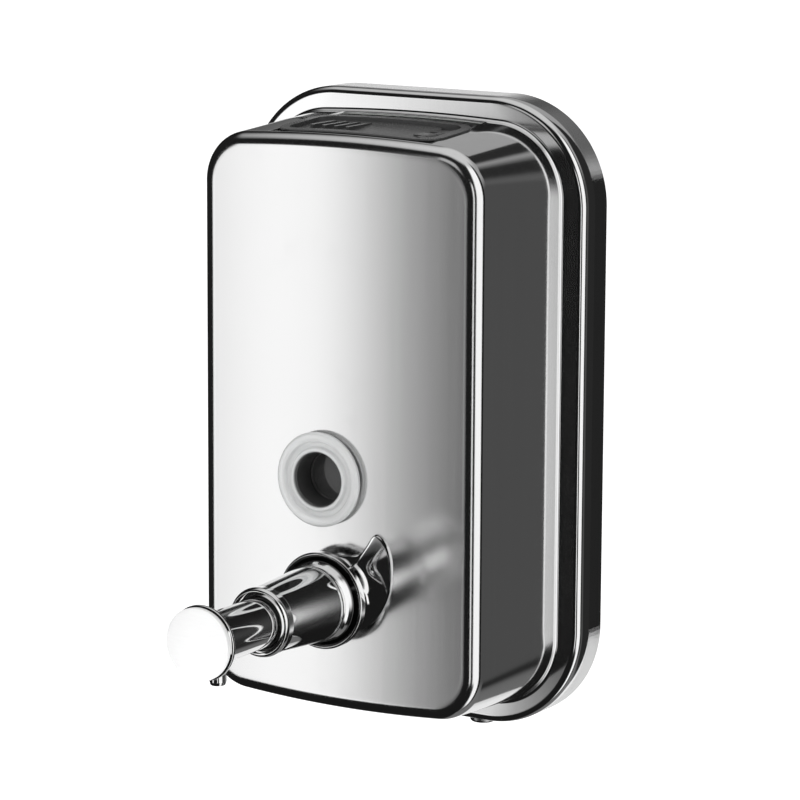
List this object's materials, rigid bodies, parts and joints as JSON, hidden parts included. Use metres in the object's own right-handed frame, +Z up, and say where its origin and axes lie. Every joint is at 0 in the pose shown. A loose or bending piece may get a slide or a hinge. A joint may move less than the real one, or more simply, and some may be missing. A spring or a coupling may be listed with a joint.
{
  "type": "wall mounted soap dispenser",
  "caption": "Wall mounted liquid soap dispenser: pressed steel cover over a tank, push pump with the spout under its button, round level window and hinged filler lid.",
  "frame": {"origin": "centre of the wall screw pattern, on the wall plane", "axes": "+Z up, -Y out of the wall towards the user, +X to the user's right"},
  "size_m": [0.1154, 0.1254, 0.1866],
  "materials": {
    "polished_steel": "mirror polished stainless steel",
    "plate_steel": "plain stainless sheet",
    "tank_plastic": "translucent moulded polypropylene",
    "hatch_plastic": "dark moulded plastic",
    "clear_plastic": "clear moulded acrylic",
    "rubber": "black rubber",
    "chrome": "bright chrome plate",
    "white_plastic": "moulded acetal",
    "spring_steel": "drawn stainless wire"
  },
  "bodies": {
    "housing": {"wall_plate": "plate_steel", "cover": "polished_steel", "hanger_strip": "plate_steel", "lock_screws": "plate_steel", "tank_front": "tank_plastic", "tank_back": "tank_plastic", "filler_seal": "rubber", "hatch_frame": "hatch_plastic", "hinge_pin": "spring_steel", "window_lens": "clear_plastic", "window_gasket": "rubber", "window_seal": "rubber", "window_nut": "white_plastic", "pump_foot": "chrome", "pump_collar": "chrome", "pump_barrel": "chrome", "barrel_end_ring": "chrome", "barrel_bush": "hatch_plastic", "pump_cylinder": "white_plastic", "pump_seal": "rubber", "cylinder_cap": "white_plastic", "inlet_valve": "white_plastic", "pickup_tube": "tank_plastic", "return_spring": "spring_steel"},
    "plunger": {"piston": "white_plastic", "piston_seal": "rubber", "pump_stem": "white_plastic", "outlet_seat": "white_plastic", "plunger_sleeve": "chrome", "button_core": "chrome", "button_cap": "chrome", "spout": "chrome"},
    "lid": {"hatch_lid": "hatch_plastic", "lid_seal": "rubber"},
    "inlet_ball": {"inlet_ball": "spring_steel"},
    "outlet_ball": {"outlet_ball": "spring_steel"}
  },
  "joints": [
    {"name": "pump_push", "type": "slide", "parent": "housing", "child": "plunger", "axis": [0, 1, 0], "range_m": [0, 0.015], "stiffness_N_per_m": 350, "springref_m": -0.01, "deforming": ["return_spring"]},
    {"name": "lid_hinge", "type": "hinge", "parent": "housing", "child": "lid", "pos_m": [0.0222, -0.0355, 0.08209], "axis": [0, 1, 0], "range_deg": [0, 100]},
    {"name": "inlet_ball_lift", "type": "slide", "parent": "housing", "child": "inlet_ball", "axis": [0, -1, 0], "range_m": [0, 0.0012]},
    {"name": "outlet_ball_lift", "type": "slide", "parent": "plunger", "child": "outlet_ball", "axis": [0, -1, 0], "range_m": [0, 0.0012]}
  ]
}
